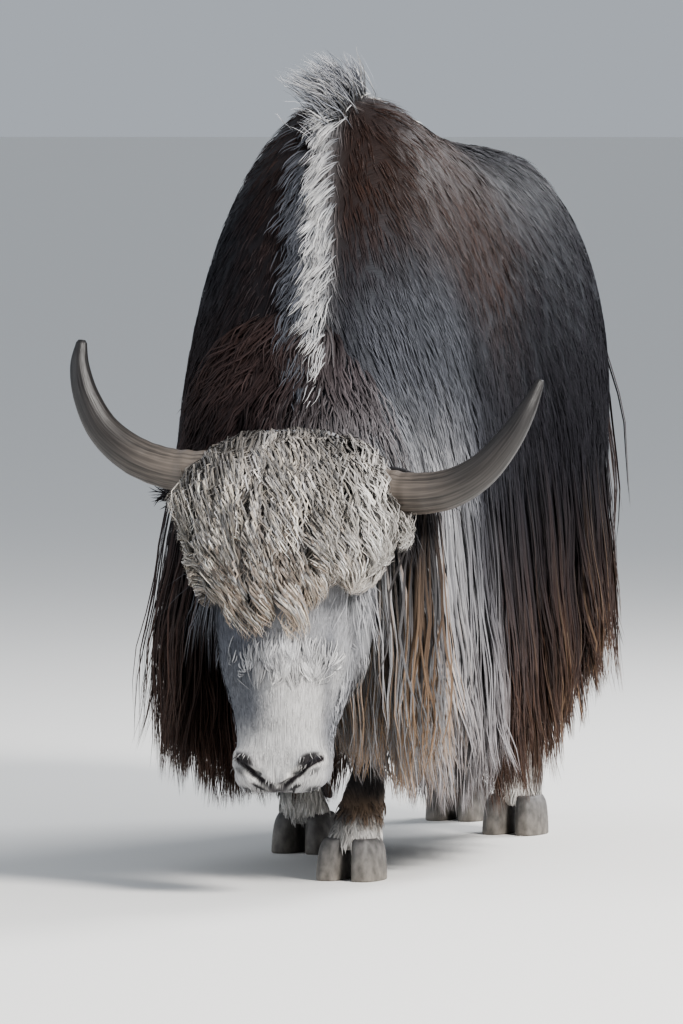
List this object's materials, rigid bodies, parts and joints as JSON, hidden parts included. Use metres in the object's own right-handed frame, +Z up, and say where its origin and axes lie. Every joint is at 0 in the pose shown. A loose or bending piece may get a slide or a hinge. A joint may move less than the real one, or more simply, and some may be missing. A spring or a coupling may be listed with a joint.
{
  "type": "yak",
  "caption": "Life-size still model of a grazing domestic yak with lowered head, upswept horns, woolly forelock, long skirt of hair and bushy tail, standing on four hooves.",
  "frame": {"origin": "on the floor under the middle of the model's box", "axes": "+Z up, the animal faces -Y, its left side is at +X"},
  "size_m": [0.8906, 2.0552, 1.5216],
  "materials": {
    "dark_coat": "long dark brown-black hair with a soft sheen",
    "grey_coat": "short grey hair",
    "face": "silver-grey face hair with a woolly forelock",
    "horn": "grey-brown horn, satin, with fine growth lines",
    "hoof": "grey hoof horn, worn",
    "eye": "dark brown eye, wet gloss"
  },
  "bodies": {
    "root": {"ear_left": "dark_coat", "ear_right": "dark_coat", "eye_left": "eye", "eye_right": "eye", "flank_left": "dark_coat", "flank_right": "dark_coat", "foreleg_left": "grey_coat", "foreleg_right": "grey_coat", "haunch_left": "dark_coat", "haunch_right": "dark_coat", "head": "face", "hindleg_left": "grey_coat", "hindleg_right": "grey_coat", "hoof_fore_left_inner": "hoof", "hoof_fore_left_outer": "hoof", "hoof_fore_right_inner": "hoof", "hoof_fore_right_outer": "hoof", "hoof_hind_left_inner": "hoof", "hoof_hind_left_outer": "hoof", "hoof_hind_right_inner": "hoof", "hoof_hind_right_outer": "hoof", "horn_left": "horn", "horn_right": "horn", "neck": "dark_coat", "shoulder_left": "dark_coat", "shoulder_right": "dark_coat", "tail": "dark_coat", "torso": "dark_coat"}
  },
  "joints": []
}
